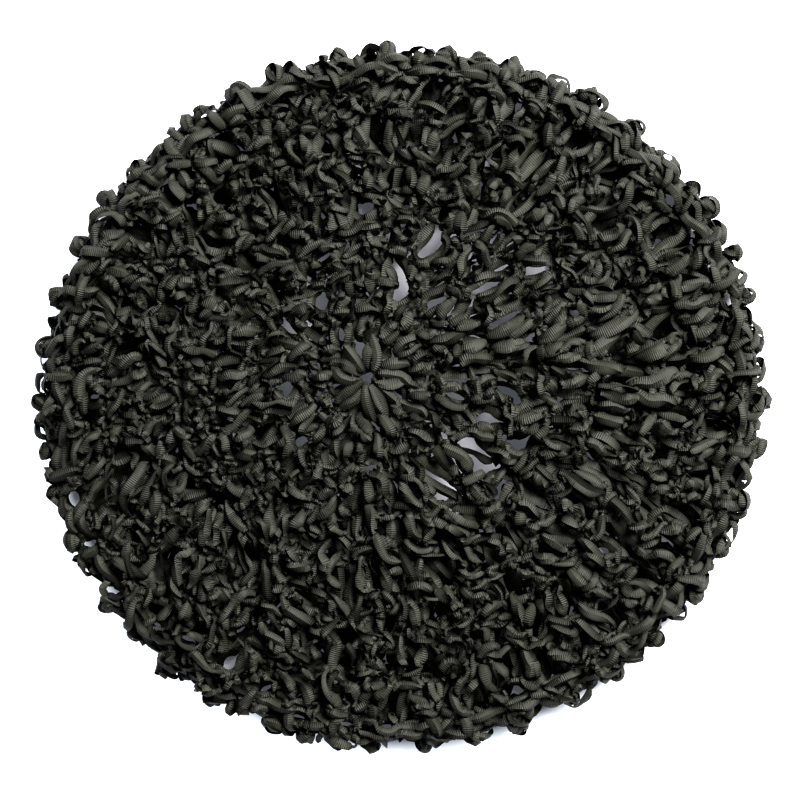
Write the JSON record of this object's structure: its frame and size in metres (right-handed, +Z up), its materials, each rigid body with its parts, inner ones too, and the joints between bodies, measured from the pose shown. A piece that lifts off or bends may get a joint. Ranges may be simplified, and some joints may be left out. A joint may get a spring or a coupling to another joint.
{
  "type": "crochet hair snood",
  "caption": "Round openwork hair snood crocheted from ribbed ribbon in rounds, folded over at a scalloped rim, hollow inside, with a gathered opening underneath for the head.",
  "frame": {"origin": "on the surface that the snood lies on, under the middle of its oval outline", "axes": "+Z up, out of the crown; +X along the oval's longer side, to the right in the picture; +Y towards the picture's top"},
  "size_m": [0.2658, 0.2572, 0.0246],
  "materials": {
    "ribbon_crown": "ribbed ribbon, soft satin sheen",
    "ribbon_rim": "ribbed ribbon, soft satin sheen",
    "ribbon_underside": "ribbed ribbon, soft satin sheen"
  },
  "bodies": {
    "root": {"centre_ring": "ribbon_crown", "crown_round_1": "ribbon_crown", "crown_round_2": "ribbon_crown", "crown_round_3": "ribbon_crown", "crown_round_4": "ribbon_crown", "crown_round_5": "ribbon_crown", "crown_round_6": "ribbon_crown", "crown_round_7": "ribbon_crown", "crown_round_8": "ribbon_crown", "rim_round_upper": "ribbon_rim", "rim_round_lower": "ribbon_rim", "underside_round_1": "ribbon_underside", "underside_round_2": "ribbon_underside", "underside_round_3": "ribbon_underside", "underside_round_4": "ribbon_underside", "opening_band": "ribbon_underside"}
  },
  "joints": []
}
